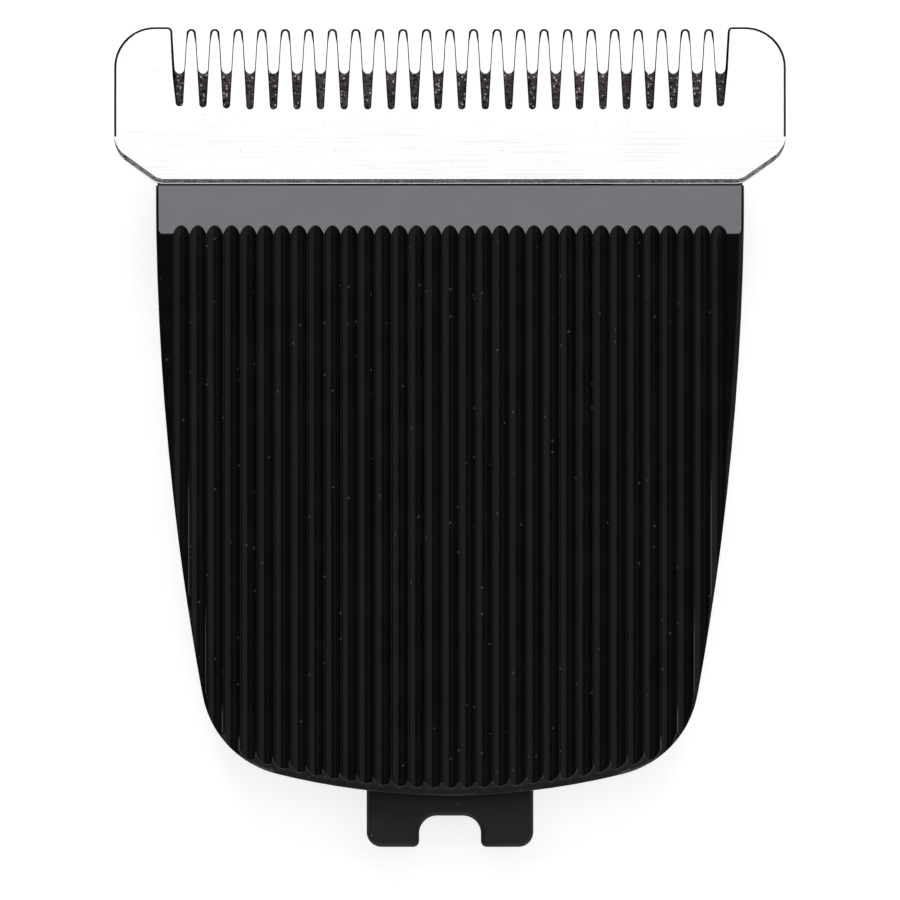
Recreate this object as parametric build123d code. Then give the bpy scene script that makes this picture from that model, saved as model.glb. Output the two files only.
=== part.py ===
from build123d import *
import math
import os

# Clip-on blade head of a hair clipper, lying on its back.
# X runs across the blade, Y points to the tooth tips and Z out of the outer face.
# The origin is under the middle of the head, on the plane of the rear rim. Sizes are millimetres.

# Overall sizes
blade_width = 45.0
blade_height = 10.5
lobe_overhang = 2.8
cover_length = 40.9
tongue_reach = 3.5
face_height = 12.0

# Clearances
seam_gap = 0.1
fit_gap = 0.12
running_gap = 0.15
blade_film = 0.02
thread_gap = 0.02
side_play = 0.25

# Travel of the cutter to each side
stroke = 1.2

# Fixed comb plate
plate_thickness = 1.6
lobe_width = 4.38
lobe_radius = 2.7
lobe_inner_radius = 0.3
side_radius = 2.2
edge_radius = 1.5
diagonal_angle = 35.0
lower_edge_inset = 0.1
lower_bevel = 0.3
lower_rim = 0.07
bevel_run_out = 0.36
gap_pitch = 1.576
gap_mouth = 0.975
gap_root = 0.36
gap_root_height = 5.03
end_gap_rise = 0.21
end_gap_run = 3
grind_margin = 0.3
tip_setback = 0.12
tip_chamfer = 0.17
tip_drop = 0.45
boss_radius = 1.6
plate_thread_depth = 0.9

# Moving cutter plate
cutter_thickness = 0.9
cutter_gap_mouth = 1.2
cutter_gap_root = 0.62
cutter_root_chamfer = 0.2
cutter_root_height = 7.4
cutter_tip_setback = 0.8
cutter_tip_bevel = 0.35
cutter_end = 1.25
cutter_tail_margin = 0.2
cutter_tail_height = 0.6

# Ribbed cover
cover_wall = 1.6
skin_thickness = 1.8
side_arc_radius = 190.0
bottom_arc_radius = 48.0
corner_radius = 6.7
band_step = 0.3
band_length = 3.25
band_angle = 20.0
skin_angle = 7.0
edge_chamfer = 0.3
band_chamfer = 0.17
edge_angle = 38.0
end_chamfer = 0.8
end_angle = 36.0
flute_pitch = 1.125
flute_width = 1.05
flute_depth = 0.27
flute_margin = 1.7
lug_thickness = 1.3
lug_reach = 4.0
lug_root = 2.2
cover_boss_radius = 2.2
cross_rib_width = 1.0
cross_rib_depth = 2.0

# Base frame
floor_lift = 0.8
floor_thickness = 1.4
floor_length = 15.1
ring_wall = 1.5
ring_height = 3.0
seat_length = 3.5
seat_web = 2.4
seat_front_wall = 0.8
rail_width = 1.2
rail_drop = 12.8
rail_half_length = 13.0
rail_bite = 1.2
latch_depth = 0.8
latch_length = 4.0
latch_height = 1.6
latch_drop = 19.0
latch_lip = 0.6
tongue_width = 11.2
tongue_thickness = 2.6
tongue_lift = 3.0
tongue_root = 2.5
tongue_corner = 1.0
tongue_edge = 0.25
notch_width = 4.15
notch_depth = 2.1
notch_corner = 1.2
notch_mouth = 0.4
ear_lift = 1.8
ear_thickness = 1.4

# Cutter holder
saddle_half = 8.8
saddle_side_room = 0.9
saddle_reach = 3.6
saddle_start = 0.5
holder_thickness = 2.4
holder_drop = 0.5
holder_tail = 1.6
holder_corner = 1.0
wing_margin = 0.4
wing_reach = 1.7
pin_radius = 0.85
pin_spacing = 11.0
pin_rise = 2.2
pin_length = 0.7
drive_drop = 7.0
drive_length = 8.4
drive_width = 10.0
drive_slot_length = 6.0
drive_slot_width = 5.0
drive_slot_web = 0.4
drive_lift = 0.4
drive_lead_in = 0.4

# Leaf springs
leaf_width = 3.2
leaf_thickness = 0.25
leaf_spacing = 21.6
leaf_drop = 5.6
leaf_run = 4.0
leaf_foot = 2.2
leaf_bend = 0.5
leaf_tail = 0.9
leaf_gap = 0.1
stake_side = 1.1
stake_height = 0.6

# Screws
screw_radius = 1.0
screw_hole_room = 0.15
head_radius = 1.9
head_height = 1.2
head_room = 0.3
recess_length = 2.2
recess_width = 0.5
recess_depth = 0.6
thread_end_room = 0.2
cover_screw_length = 4.6

# Places along Y, from the plate's lower edge
blade_edge = (cover_length + seam_gap + tongue_reach - blade_height) / 2
lobe_top = blade_edge + blade_height
tip_line = lobe_top - tip_setback
root_level = blade_edge + gap_root_height
cover_top = blade_edge - seam_gap
cover_bottom = cover_top - cover_length
crease = cover_top - band_length
tongue_end = cover_bottom - tongue_reach
lug_end = blade_edge + lug_reach
blade_screw_y = blade_edge + lug_reach / 2
base_front = blade_screw_y + head_radius + head_room + seat_front_wall
drive_y = blade_edge - drive_drop
leaf_y = blade_edge - leaf_drop
foot_end = leaf_y - leaf_run
stake_y = foot_end - leaf_foot / 2
rail_y = blade_edge - rail_drop
floor_end = blade_edge - floor_length
latch_y = blade_edge - latch_drop
pin_y = blade_edge + pin_rise

# Places across X
cover_width = blade_width - 2 * lobe_overhang
edge_half = cover_width / 2 - lower_edge_inset
base_inset = cover_wall + fit_gap
base_half = cover_width / 2 - base_inset
seat_inner = saddle_half + stroke + saddle_side_room
blade_screw_x = (seat_inner + base_half) / 2
leaf_x = leaf_spacing / 2

# Levels along Z, from the face down and from the rim up
contact_level = face_height - plate_thickness
cutter_face = contact_level - blade_film
cutter_back = cutter_face - cutter_thickness
lug_back = contact_level - lug_thickness
holder_top = cutter_back - holder_drop
holder_back = holder_top - holder_thickness
head_seat = lug_back - seat_web
floor_top = floor_lift + floor_thickness
ring_top = floor_lift + ring_height
ear_top = ear_lift + ear_thickness
band_front_level = face_height - band_step
crease_level = band_front_level + band_length * math.tan(math.radians(band_angle))

# Room to spare on cutting tools, and the largest difference between equal sizes
past = 5.0
hair = 0.001


def block(x_low, x_high, y_low, y_high, z_low, z_high):
    """Box between two corners."""
    size = Box(x_high - x_low, y_high - y_low, z_high - z_low)
    return Pos((x_low + x_high) / 2, (y_low + y_high) / 2, (z_low + z_high) / 2) * size


def post(x, y, radius, z_low, z_high):
    """Upright cylinder between two levels."""
    return Pos(x, y, (z_low + z_high) / 2) * Cylinder(radius, z_high - z_low)


def slab(plan, z_low, z_high):
    """Plan raised between two levels."""
    return extrude(Pos(0, 0, z_low) * plan, z_high - z_low)


def row(count, pitch):
    """Centred X places of a row."""
    return [(index - (count - 1) / 2) * pitch for index in range(count)]


def upright_edges(solid):
    """Edges of a solid that run along Z."""
    return solid.edges().filter_by(Axis.Z)


# Fixed comb plate: tapered gaps, blunted tips and two broad end lobes

gap_count = round((blade_width - 2 * lobe_width) / gap_pitch) + 1
gap_places = row(gap_count, gap_pitch)


def on_circle(x, y, radius, angle):
    """Point on a circle at an angle in degrees."""
    return (x + radius * math.cos(math.radians(angle)), y + radius * math.sin(math.radians(angle)))


def arc(x, y, radius, start, end):
    """Arc about a centre from one angle to another."""
    points = [on_circle(x, y, radius, angle) for angle in (start, (start + end) / 2, end)]
    return ThreePointArc(*points)


def comb_space():
    """Space over the toothed edge: round roots, widening gaps, blunted tips and two lobe corners."""
    root_radius = gap_root / 2
    root_centre = root_level + root_radius
    depth = tip_line - root_centre
    reach = math.hypot(depth, gap_mouth / 2)
    taper = math.atan2(gap_mouth / 2, depth) - math.asin(root_radius / reach)
    lean = math.degrees(taper)

    def gap_half(level):
        """Half the width of a gap at a level."""
        return (root_radius + (level - root_centre) * math.sin(taper)) / math.cos(taper)

    def root(index):
        """Level and radius of a gap's round root, which rises over the last gaps at each end."""
        from_end = min(index, gap_count - 1 - index)
        rise = end_gap_rise * max(0, 1 - from_end / end_gap_run)
        level = root_centre + rise / (1 - math.sin(taper))
        return level, root_radius + (level - root_centre) * math.sin(taper)

    shoulder = tip_line - tip_chamfer
    tooth_half = gap_pitch / 2 - gap_half(shoulder)
    flat_half = tooth_half - tip_chamfer
    corner_level = lobe_top - lobe_inner_radius
    corner_x = gap_places[-1] + gap_half(corner_level) + lobe_inner_radius / math.cos(taper)
    curves = [arc(-corner_x, corner_level, lobe_inner_radius, 90, lean)]
    for index, x in enumerate(gap_places):
        curves.append(arc(x, *root(index), 180 + lean, 360 - lean))
        if index < gap_count - 1:
            tooth = x + gap_pitch / 2
            curves.append(Polyline(
                (tooth - tooth_half, shoulder), (tooth - flat_half, tip_line),
                (tooth + flat_half, tip_line), (tooth + tooth_half, shoulder),
            ))
    curves.append(arc(corner_x, corner_level, lobe_inner_radius, 180 - lean, 90))
    sides = [Line(first @ 1, second @ 0) for first, second in zip(curves, curves[1:])]
    roof = lobe_top + past
    lid = Polyline((corner_x, lobe_top), (corner_x, roof), (-corner_x, roof), (-corner_x, lobe_top))
    return make_face(Curve() + curves + sides + lid)


def plate_outline(spread):
    """Plan of the plate before its gaps are cut, with its sides and top moved out by a spread."""
    half = blade_width / 2 + spread
    top = lobe_top + spread
    rise = (half - edge_half) * math.tan(math.radians(diagonal_angle))
    corners = [
        (-edge_half, blade_edge), (edge_half, blade_edge), (half, blade_edge + rise),
        (half, top), (-half, top), (-half, blade_edge + rise),
    ]
    plan = Polygon(*corners, align=None)
    plan = fillet(plan.vertices().group_by(Axis.Y)[1], side_radius + spread)
    plan = fillet(plan.vertices().group_by(Axis.Y)[0], edge_radius)
    return fillet(plan.vertices().group_by(Axis.Y)[-1], lobe_radius + spread)


def bevelled_space():
    """Space that breaks the face's lower and slanting edges down to a thin rim and runs out at the sides."""
    plan = plate_outline(bevel_run_out)
    form = slab(plan, 0, face_height + lower_bevel)
    form = chamfer(form.faces().sort_by(Axis.Z)[-1].edges(), 2 * lower_bevel)
    return form + slab(plan, 0, face_height - lower_bevel + lower_rim)


def fixed_blade():
    """Comb plate, ground down towards its tips, with two threaded bosses on its back."""
    plate = slab(plate_outline(0), contact_level, face_height) & bevelled_space()
    plate -= slab(comb_space(), 0, face_height + past)
    grind_start = root_level - grind_margin
    grind_angle = math.degrees(math.atan2(tip_drop, lobe_top - grind_start))
    above_grind = Pos(0, 2 * past, past) * Box(2 * blade_width, 4 * past, 2 * past)
    plate -= Pos(0, grind_start, face_height) * Rot(-grind_angle, 0, 0) * above_grind
    thread_top = contact_level + plate_thread_depth
    for side in (-1, 1):
        x = side * blade_screw_x
        plate += post(x, blade_screw_y, boss_radius, lug_back + fit_gap / 2, contact_level)
        plate -= post(x, blade_screw_y, screw_radius + thread_gap, 0, thread_top)
    return plate


# Moving cutter plate: short tapered gaps of the same pitch and a tail for the holder's pins


def moving_blade():
    """Cutter plate that slides behind the comb."""
    tip = lobe_top - cutter_tip_setback
    half = gap_places[-1] + cutter_end
    shoulder = lug_end + 2 * running_gap
    tail_low = blade_edge + cutter_tail_height
    tail_half = saddle_half + cutter_tail_margin
    plan = Pos(0, (shoulder + tip) / 2) * Rectangle(2 * half, tip - shoulder)
    plan += Pos(0, (tail_low + shoulder) / 2) * Rectangle(2 * tail_half, shoulder - tail_low)
    root = blade_edge + cutter_root_height
    mouth_half = cutter_gap_mouth / 2
    root_half = cutter_gap_root / 2
    floor_half = root_half - cutter_root_chamfer
    gap_side = [
        (mouth_half, tip + past), (mouth_half, tip),
        (root_half, root + cutter_root_chamfer), (floor_half, root),
    ]
    gap = Polygon(*gap_side, *[(-x, y) for x, y in reversed(gap_side)], align=None)
    plan -= [Pos(x, 0) * gap for x in gap_places]
    plan -= [Pos(x, pin_y) * Circle(pin_radius + thread_gap) for x in (-pin_spacing / 2, pin_spacing / 2)]
    blade = slab(plan, cutter_back, cutter_face)
    wedge = Rot(-45, 0, 0) * (Pos(0, past, 0) * Box(2 * blade_width, 2 * past, 4 * past))
    return blade - Pos(0, tip, cutter_back + cutter_tip_bevel) * wedge


# Ribbed cover: tapered shell with a sloping band, a long fluted skin and lugs under the plate


def cover_plan(inset, top):
    """Plan of the cover, drawn in by an inset, up to a top line."""
    reach = side_arc_radius - cover_width / 2
    side = Circle(side_arc_radius - inset)
    plan = (Pos(-reach, cover_top) * side) & (Pos(reach, cover_top) * side)
    plan &= Pos(0, cover_bottom + bottom_arc_radius) * Circle(bottom_arc_radius - inset)
    height = top - cover_bottom + past
    plan &= Pos(0, top - height / 2) * Rectangle(2 * cover_width, height)
    return fillet(plan.vertices().group_by(Axis.Y)[0], corner_radius - inset)


def corner_centres():
    """Centres of the cover's two lower corners."""
    curved = cover_plan(0, cover_top).edges().filter_by(GeomType.CIRCLE)
    corners = curved.filter_by(lambda edge: abs(edge.radius - corner_radius) < hair)
    return [(edge.arc_center.X, edge.arc_center.Y) for edge in corners]


def skin_level(y):
    """Height of the long skin at a place along Y."""
    return crease_level - (crease - y) * math.tan(math.radians(skin_angle))


def under_skin(drop):
    """Space under the sloping band and the long skin, lowered by a drop."""
    front = cover_top + past
    back = cover_bottom - past
    front_level = crease_level - (front - crease) * math.tan(math.radians(band_angle))
    profile = Polygon(
        (front, -past), (front, front_level - drop), (crease, crease_level - drop),
        (back, skin_level(back) - drop), (back, -past), align=None,
    )
    return extrude(Plane.YZ * profile, blade_width, both=True)


def flutes():
    """Concave flutes along the long skin that run out on the band."""
    radius = (flute_width**2 / 4 + flute_depth**2) / (2 * flute_depth)
    count = round((cover_width - 2 * flute_margin) / flute_pitch) + 1
    rod = Pos(0, 0, radius - flute_depth) * Rot(90, 0, 0) * Cylinder(radius, 4 * cover_length)
    return [Pos(x, crease, crease_level) * Rot(skin_angle, 0, 0) * rod for x in row(count, flute_pitch)]


def end_cone():
    """Wide cone square to the long skin, which breaks the bottom edge and runs out at the corners."""
    reach = bottom_arc_radius / math.cos(math.radians(skin_angle)) - end_chamfer
    half = cover_length / 2
    spread = half / math.tan(math.radians(end_angle))
    y = cover_bottom + bottom_arc_radius
    return Pos(0, y, skin_level(y)) * Rot(skin_angle, 0, 0) * Cone(reach + spread, reach - spread, 2 * half)


def slope_face(form, angle):
    """Face of a form that slopes by an angle."""
    upward = math.cos(math.radians(angle))
    return form.faces().filter_by(lambda face: abs(face.normal_at().Z - upward) < hair)[0]


def hood():
    """Cover's outer form, with the edges of band and skin broken, and the bottom edge more."""
    form = slab(cover_plan(0, cover_top), 0, face_height + past) & under_skin(0)
    for angle, width in ((band_angle, band_chamfer), (skin_angle, edge_chamfer)):
        slope = slope_face(form, angle)
        long_edges = slope.edges().filter_by(lambda edge: edge.length > band_length / 2)
        sides = long_edges - long_edges.filter_by(Axis.X)
        form = chamfer(sides, width, angle=edge_angle, reference=slope)
    return form & end_cone()


def cover_lug(side):
    """Lug that reaches under the comb plate and takes one of its bosses."""
    x_low, x_high = sorted((side * seat_inner, side * edge_half))
    root_top = band_front_level - band_chamfer
    lug = block(x_low, x_high, cover_top - lug_root, lug_end, lug_back, contact_level)
    lug += block(x_low, x_high, cover_top - lug_root, cover_top, lug_back, root_top)
    return lug - post(side * blade_screw_x, blade_screw_y, boss_radius + fit_gap, 0, face_height)


def ribbed_cover():
    """Outer shell of the head."""
    cover = hood()
    cover -= flutes()
    hollow = slab(cover_plan(cover_wall, cover_top + past), -past, face_height + past)
    cover -= hollow & under_skin(skin_thickness)
    for side in (-1, 1):
        cover += cover_lug(side)
    corner_x, corner_y = corner_centres()[0]
    skin_middle = skin_level(corner_y) - skin_thickness / 2
    rib_foot = skin_level(corner_y) - skin_thickness - cross_rib_depth
    rib_low = corner_y - cross_rib_width / 2
    rib_half = abs(corner_x)
    cover += block(-rib_half, rib_half, rib_low, rib_low + cross_rib_width, rib_foot, skin_middle)
    for x, y in corner_centres():
        cover += post(x, y, cover_boss_radius, ear_top, skin_middle)
        cover -= post(x, y, screw_radius + thread_gap, 0, ear_lift + cover_screw_length + thread_end_room)
    door_half = tongue_width / 2 + fit_gap
    door_top = tongue_lift + tongue_thickness + fit_gap
    door_end = cover_bottom + cover_wall + ring_wall
    return cover - block(-door_half, door_half, cover_bottom - past, door_end, -past, door_top)


# Base frame: open ring inside the cover, with a floor, blade seats, guide rail, ears and mounting tongue


def tongue():
    """Mounting tongue with its round-topped notch."""
    root = cover_bottom + base_inset + tongue_root
    plan = Pos(0, (tongue_end + root) / 2) * Rectangle(tongue_width, root - tongue_end)
    plan = fillet(plan.vertices().group_by(Axis.Y)[0], tongue_corner)
    notch = Pos(0, tongue_end) * Rectangle(notch_width, 2 * notch_depth)
    plan -= fillet(notch.vertices().group_by(Axis.Y)[-1], notch_corner)
    mouth = plan.vertices().group_by(Axis.Y)[0].sort_by(lambda corner: abs(corner.X))[:2]
    plan = fillet(mouth, notch_mouth)
    plate = slab(plan, tongue_lift, tongue_lift + tongue_thickness)
    return chamfer(plate.faces().sort_by(Axis.Z)[-1].edges(), tongue_edge)


def stake(side, room):
    """Square stake that holds a leaf's foot to the floor, with room round it for the leaf's hole."""
    x = side * leaf_x
    half = stake_side / 2 + room
    return block(x - half, x + half, stake_y - half, stake_y + half, floor_lift, floor_top + stake_height)


def base_frame():
    """Inner moulding that carries the blade, the springs and the holder."""
    plan = cover_plan(base_inset, base_front)
    frame = slab(plan - cover_plan(base_inset + ring_wall, base_front + past), floor_lift, ring_top)
    floor = Pos(0, (floor_end + base_front) / 2) * Rectangle(2 * cover_width, base_front - floor_end)
    frame += slab(plan & floor, floor_lift, floor_top)
    window_half = drive_width / 2 + stroke + side_play
    window_reach = drive_length / 2 + side_play
    frame -= block(-window_half, window_half, drive_y - window_reach, drive_y + window_reach, 0, ring_top)
    rail_top = holder_back + rail_bite
    rail_low = rail_y - rail_width / 2
    frame += block(-rail_half_length, rail_half_length, rail_low, rail_low + rail_width, floor_lift, rail_top)
    seat_low = cover_top - seat_length
    for side in (-1, 1):
        strip = Pos(side * (seat_inner + cover_width / 2), (seat_low + base_front) / 2)
        frame += slab(plan & strip * Rectangle(cover_width, base_front - seat_low), floor_lift, lug_back)
        x = side * blade_screw_x
        frame -= post(x, blade_screw_y, head_radius + head_room, 0, head_seat)
        frame -= post(x, blade_screw_y, screw_radius + screw_hole_room, 0, face_height)
        frame += stake(side, 0)
    for x, y in corner_centres():
        frame += post(x, y, corner_radius - base_inset - ring_wall / 2, ear_lift, ear_top)
        frame -= post(x, y, screw_radius + screw_hole_room, 0, face_height)
    latch_plan = cover_plan(base_inset + ring_wall - latch_depth, base_front)
    latch_plan &= Pos(0, latch_y) * Rectangle(2 * cover_width, latch_length)
    frame -= slab(latch_plan, ring_top - latch_lip - latch_height, ring_top - latch_lip)
    return frame + tongue()


# Cutter holder: sliding carrier with a saddle and pins for the cutter, two wings and the drive slot


def drive_block():
    """Block that the clipper's drive pin moves from side to side."""
    low = floor_lift + drive_lift
    height = holder_back - low
    outer = fillet(upright_edges(Box(drive_width, drive_length, height)), holder_corner)
    slot_depth = height - drive_slot_web
    slot = Box(drive_slot_width, drive_slot_length, slot_depth)
    cut = outer - Pos(0, 0, (slot_depth - height) / 2) * slot
    mouth = cut.faces().sort_by(Axis.Z)[0].inner_wires()[0].edges()
    return Pos(0, drive_y, low + height / 2) * chamfer(mouth, drive_lead_in)


def cutter_holder():
    """Plastic carrier that slides with the cutter."""
    tail = rail_y - rail_width / 2 - holder_tail
    reach = blade_edge + saddle_reach
    wing_half = leaf_x + leaf_width / 2 + stroke + wing_margin
    plate = block(-saddle_half, saddle_half, tail, reach, holder_back, holder_top)
    plate += block(-wing_half, wing_half, leaf_y - wing_reach, leaf_y + wing_reach, holder_back, holder_top)
    plate = chamfer(upright_edges(plate), holder_corner)
    saddle = block(-saddle_half, saddle_half, blade_edge + saddle_start, reach, holder_top, cutter_back)
    plate += saddle
    plate += drive_block()
    groove_half = rail_width / 2 + running_gap
    groove_top = holder_back + rail_bite + running_gap
    plate -= block(-blade_width, blade_width, rail_y - groove_half, rail_y + groove_half, 0, groove_top)
    for side in (-1, 1):
        plate += post(side * pin_spacing / 2, pin_y, pin_radius, holder_top, cutter_back + pin_length)
    return plate


# Leaf springs that press the holder's wings, and so the cutter, up to the comb


def leaf_spring(side):
    """Bent strip: a foot staked to the floor, a rising arm and a tip that turns down under a wing."""
    foot_level = floor_top + leaf_thickness / 2
    lift = holder_back - leaf_gap - leaf_thickness / 2 - foot_level
    reach = math.hypot(leaf_run, lift - leaf_bend)
    lean = math.atan2(lift - leaf_bend, leaf_run) + math.asin(leaf_bend / reach)
    top = foot_level + leaf_run * math.tan(lean)
    bends = [
        (foot_end - leaf_foot, foot_level), (foot_end, foot_level), (leaf_y, top),
        (leaf_y + leaf_tail * math.cos(lean), top - leaf_tail * math.sin(lean)),
    ]
    strip = Plane.YZ * trace(FilletPolyline(*bends, radius=leaf_bend), leaf_thickness)
    leaf = Pos(side * leaf_x, 0, 0) * extrude(strip, leaf_width / 2, both=True)
    return leaf - stake(side, running_gap)


# Screws, all driven from the back


def screw(x, y, seat, length):
    """Pan-head screw with a cross recess."""
    head = post(x, y, head_radius, seat - head_height, seat)
    for turn in (0, 90):
        blade = Rot(0, 0, turn) * Box(recess_length, recess_width, 2 * recess_depth)
        head -= Pos(x, y, seat - head_height) * blade
    return head + post(x, y, screw_radius, seat, seat + length)


def blade_screws():
    """Two screws through the base and the cover's lugs into the comb plate."""
    length = contact_level + plate_thread_depth - thread_end_room - head_seat
    return [screw(side * blade_screw_x, blade_screw_y, head_seat, length) for side in (-1, 1)]


def cover_screws():
    """Two screws through the base's ears into the cover's bosses."""
    return [screw(x, y, ear_lift, cover_screw_length) for x, y in corner_centres()]


nodes = {
    "fixed_blade": fixed_blade(),
    "moving_blade": moving_blade(),
    "ribbed_cover": ribbed_cover(),
    "base_frame": base_frame(),
    "cutter_holder": cutter_holder(),
    "spring_left": leaf_spring(-1),
    "spring_right": leaf_spring(1),
    "blade_screws": Compound(children=blade_screws()),
    "cover_screws": Compound(children=cover_screws()),
}

os.makedirs("parts", exist_ok=True)
for name, shape in nodes.items():
    export_step(shape, f"parts/{name}.step")
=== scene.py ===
"""Looks of a clip-on hair clipper blade head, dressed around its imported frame."""

import logging
import math
from collections.abc import Callable
from dataclasses import dataclass, replace
from enum import Enum
from functools import cache

import bpy
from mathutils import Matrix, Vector


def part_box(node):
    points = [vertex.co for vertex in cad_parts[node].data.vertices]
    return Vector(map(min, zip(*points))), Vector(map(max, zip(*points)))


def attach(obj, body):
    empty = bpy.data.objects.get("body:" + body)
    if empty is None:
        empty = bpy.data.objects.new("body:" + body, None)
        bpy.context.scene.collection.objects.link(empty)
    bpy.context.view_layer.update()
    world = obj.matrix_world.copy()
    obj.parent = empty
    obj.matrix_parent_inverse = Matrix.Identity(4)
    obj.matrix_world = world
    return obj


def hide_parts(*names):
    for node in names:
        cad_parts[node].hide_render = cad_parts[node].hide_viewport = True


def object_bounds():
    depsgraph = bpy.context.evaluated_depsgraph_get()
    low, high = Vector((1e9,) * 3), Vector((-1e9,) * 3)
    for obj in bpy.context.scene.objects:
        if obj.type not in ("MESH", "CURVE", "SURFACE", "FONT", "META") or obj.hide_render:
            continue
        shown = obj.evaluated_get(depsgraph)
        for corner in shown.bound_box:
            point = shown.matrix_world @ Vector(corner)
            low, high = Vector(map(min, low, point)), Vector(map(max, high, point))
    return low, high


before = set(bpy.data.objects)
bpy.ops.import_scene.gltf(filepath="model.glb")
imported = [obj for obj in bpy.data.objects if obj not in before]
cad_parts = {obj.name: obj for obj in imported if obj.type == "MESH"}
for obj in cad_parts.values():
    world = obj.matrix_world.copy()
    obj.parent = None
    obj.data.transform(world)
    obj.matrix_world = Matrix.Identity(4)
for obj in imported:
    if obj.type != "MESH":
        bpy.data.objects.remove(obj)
CAD_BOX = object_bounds()

LOG = logging.getLogger("blade_head")
MM = 0.001
# Distance below which vertices are merged
MERGED = 0.001 * MM
# Largest angles between faces that count as flat, as no edge and as smooth
FLAT_ANGLE = math.radians(0.3)
SHARP_ANGLE = math.radians(20.0)
SMOOTH_ANGLE = math.radians(35.0)
# Profile of a bevel that is an arc
ROUND_PROFILE = 0.5
# Upright part of the normal of a bevel at half a right angle
BEVEL_UPRIGHT = math.cos(math.radians(45.0))
# Places of a Mix node's colour sockets, which share their names with its others
MIX_SHARE = 0
MIX_COLOURS = (6, 7)
MIX_RESULT = 2

Colour = tuple[float, float, float]
Span = tuple[float, float]
Value = float | tuple | bpy.types.NodeSocket
Test = Callable[[Vector], bool]

WHITE: Colour = (1.0, 1.0, 1.0)


class Body(str, Enum):
    """Bodies of the frame that the pieces ride on."""

    HOUSING = "housing"
    CUTTER = "cutter"


class Slot(str, Enum):
    """Material slots of the record."""

    POLISHED_STEEL = "polished_steel"
    CUTTER_STEEL = "cutter_steel"
    COVER_PLASTIC = "cover_plastic"
    FRAME_PLASTIC = "frame_plastic"
    HOLDER_PLASTIC = "holder_plastic"
    SPRING_STEEL = "spring_steel"
    SCREW_STEEL = "screw_steel"


class Effect(str, Enum):
    """Surface effects that several finishes share."""

    GRAIN = "moulded_grain"
    LINES = "grinding_lines"
    SPECKS = "loose_specks"


class Wiring:
    """Adds and links the nodes of one node tree."""

    def __init__(self, tree: bpy.types.NodeTree) -> None:
        """Keeps the tree that the nodes go into."""
        self.tree = tree

    def feed(self, socket: bpy.types.NodeSocket, value: Value) -> None:
        """Links a socket to another one, or sets its plain value.

        Args:
            socket: Input to feed.
            value: Output socket to link, or a number, vector or colour to set.
        """
        if isinstance(value, bpy.types.NodeSocket):
            self.tree.links.new(value, socket)
        else:
            socket.default_value = value

    def node(self, kind: str, settings: dict[str, object] | None = None, **inputs: Value) -> bpy.types.Node:
        """Adds a node.

        Args:
            kind: Blender's name of the node type.
            settings: Properties of the node.
            inputs: What feeds its inputs, by name, with _ in place of a space.

        Returns:
            The new node.
        """
        made = self.tree.nodes.new(kind)
        for key, value in (settings or {}).items():
            setattr(made, key, value)
        for key, value in inputs.items():
            self.feed(made.inputs[key.replace("_", " ")], value)
        return made

    def math(self, operation: str, first: Value, second: Value = 0.0) -> bpy.types.NodeSocket:
        """Works out a Math operation.

        Args:
            operation: Blender's name of the operation.
            first: First number.
            second: Second number, where the operation takes one.

        Returns:
            The result's socket.
        """
        made = self.node("ShaderNodeMath", {"operation": operation})
        self.feed(made.inputs[0], first)
        self.feed(made.inputs[1], second)
        return made.outputs[0]

    def ramp(
        self, value: Value, low: float, high: float, start: float = 0.0, end: float = 1.0,
    ) -> bpy.types.NodeSocket:
        """Maps a range of a value smoothly to another range.

        Args:
            value: Number to map.
            low: Value that gives start.
            high: Value that gives end.
            start: Result at low and below.
            end: Result at high and above.

        Returns:
            The result's socket.
        """
        made = self.node("ShaderNodeMapRange", {"interpolation_type": "SMOOTHSTEP"}, Value=value)
        for key, number in (("From Min", low), ("From Max", high), ("To Min", start), ("To Max", end)):
            made.inputs[key].default_value = number
        return made.outputs["Result"]

    def blend(self, share: Value, first: Value, second: Value) -> bpy.types.NodeSocket:
        """Mixes two colours.

        Args:
            share: Share of the second colour.
            first: Colour at share 0.
            second: Colour at share 1.

        Returns:
            The mixed colour's socket.
        """
        made = self.node("ShaderNodeMix", {"data_type": "RGBA"})
        self.feed(made.inputs[MIX_SHARE], share)
        for index, colour in zip(MIX_COLOURS, (first, second)):
            linked = isinstance(colour, bpy.types.NodeSocket)
            self.feed(made.inputs[index], colour if linked else (*colour, 1.0))
        return made.outputs[MIX_RESULT]

    def part(self, vector: Value, axis: str) -> bpy.types.NodeSocket:
        """Takes the part of a vector along one axis."""
        return self.node("ShaderNodeSeparateXYZ", Vector=vector).outputs[axis]

    def drift(self, tone: Value, middle: float, share: float) -> bpy.types.NodeSocket:
        """Lets a number drift with a tone.

        Args:
            tone: Tone from 0 to 1.
            middle: Number that it drifts about.
            share: Share of that number by which it drifts to either side.

        Returns:
            The result's socket.
        """
        return self.ramp(tone, 0.0, 1.0, middle * (1 - share), middle * (1 + share))

    def effect(self, effect: Effect, **inputs: Value) -> bpy.types.Node:
        """Places a shared effect.

        Args:
            effect: Which effect.
            inputs: What feeds its inputs, by name.

        Returns:
            The effect's group node.
        """
        made = self.tree.nodes.new("ShaderNodeGroup")
        made.node_tree = bpy.data.node_groups[effect.value]
        for key, value in inputs.items():
            self.feed(made.inputs[key], value)
        return made


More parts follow.
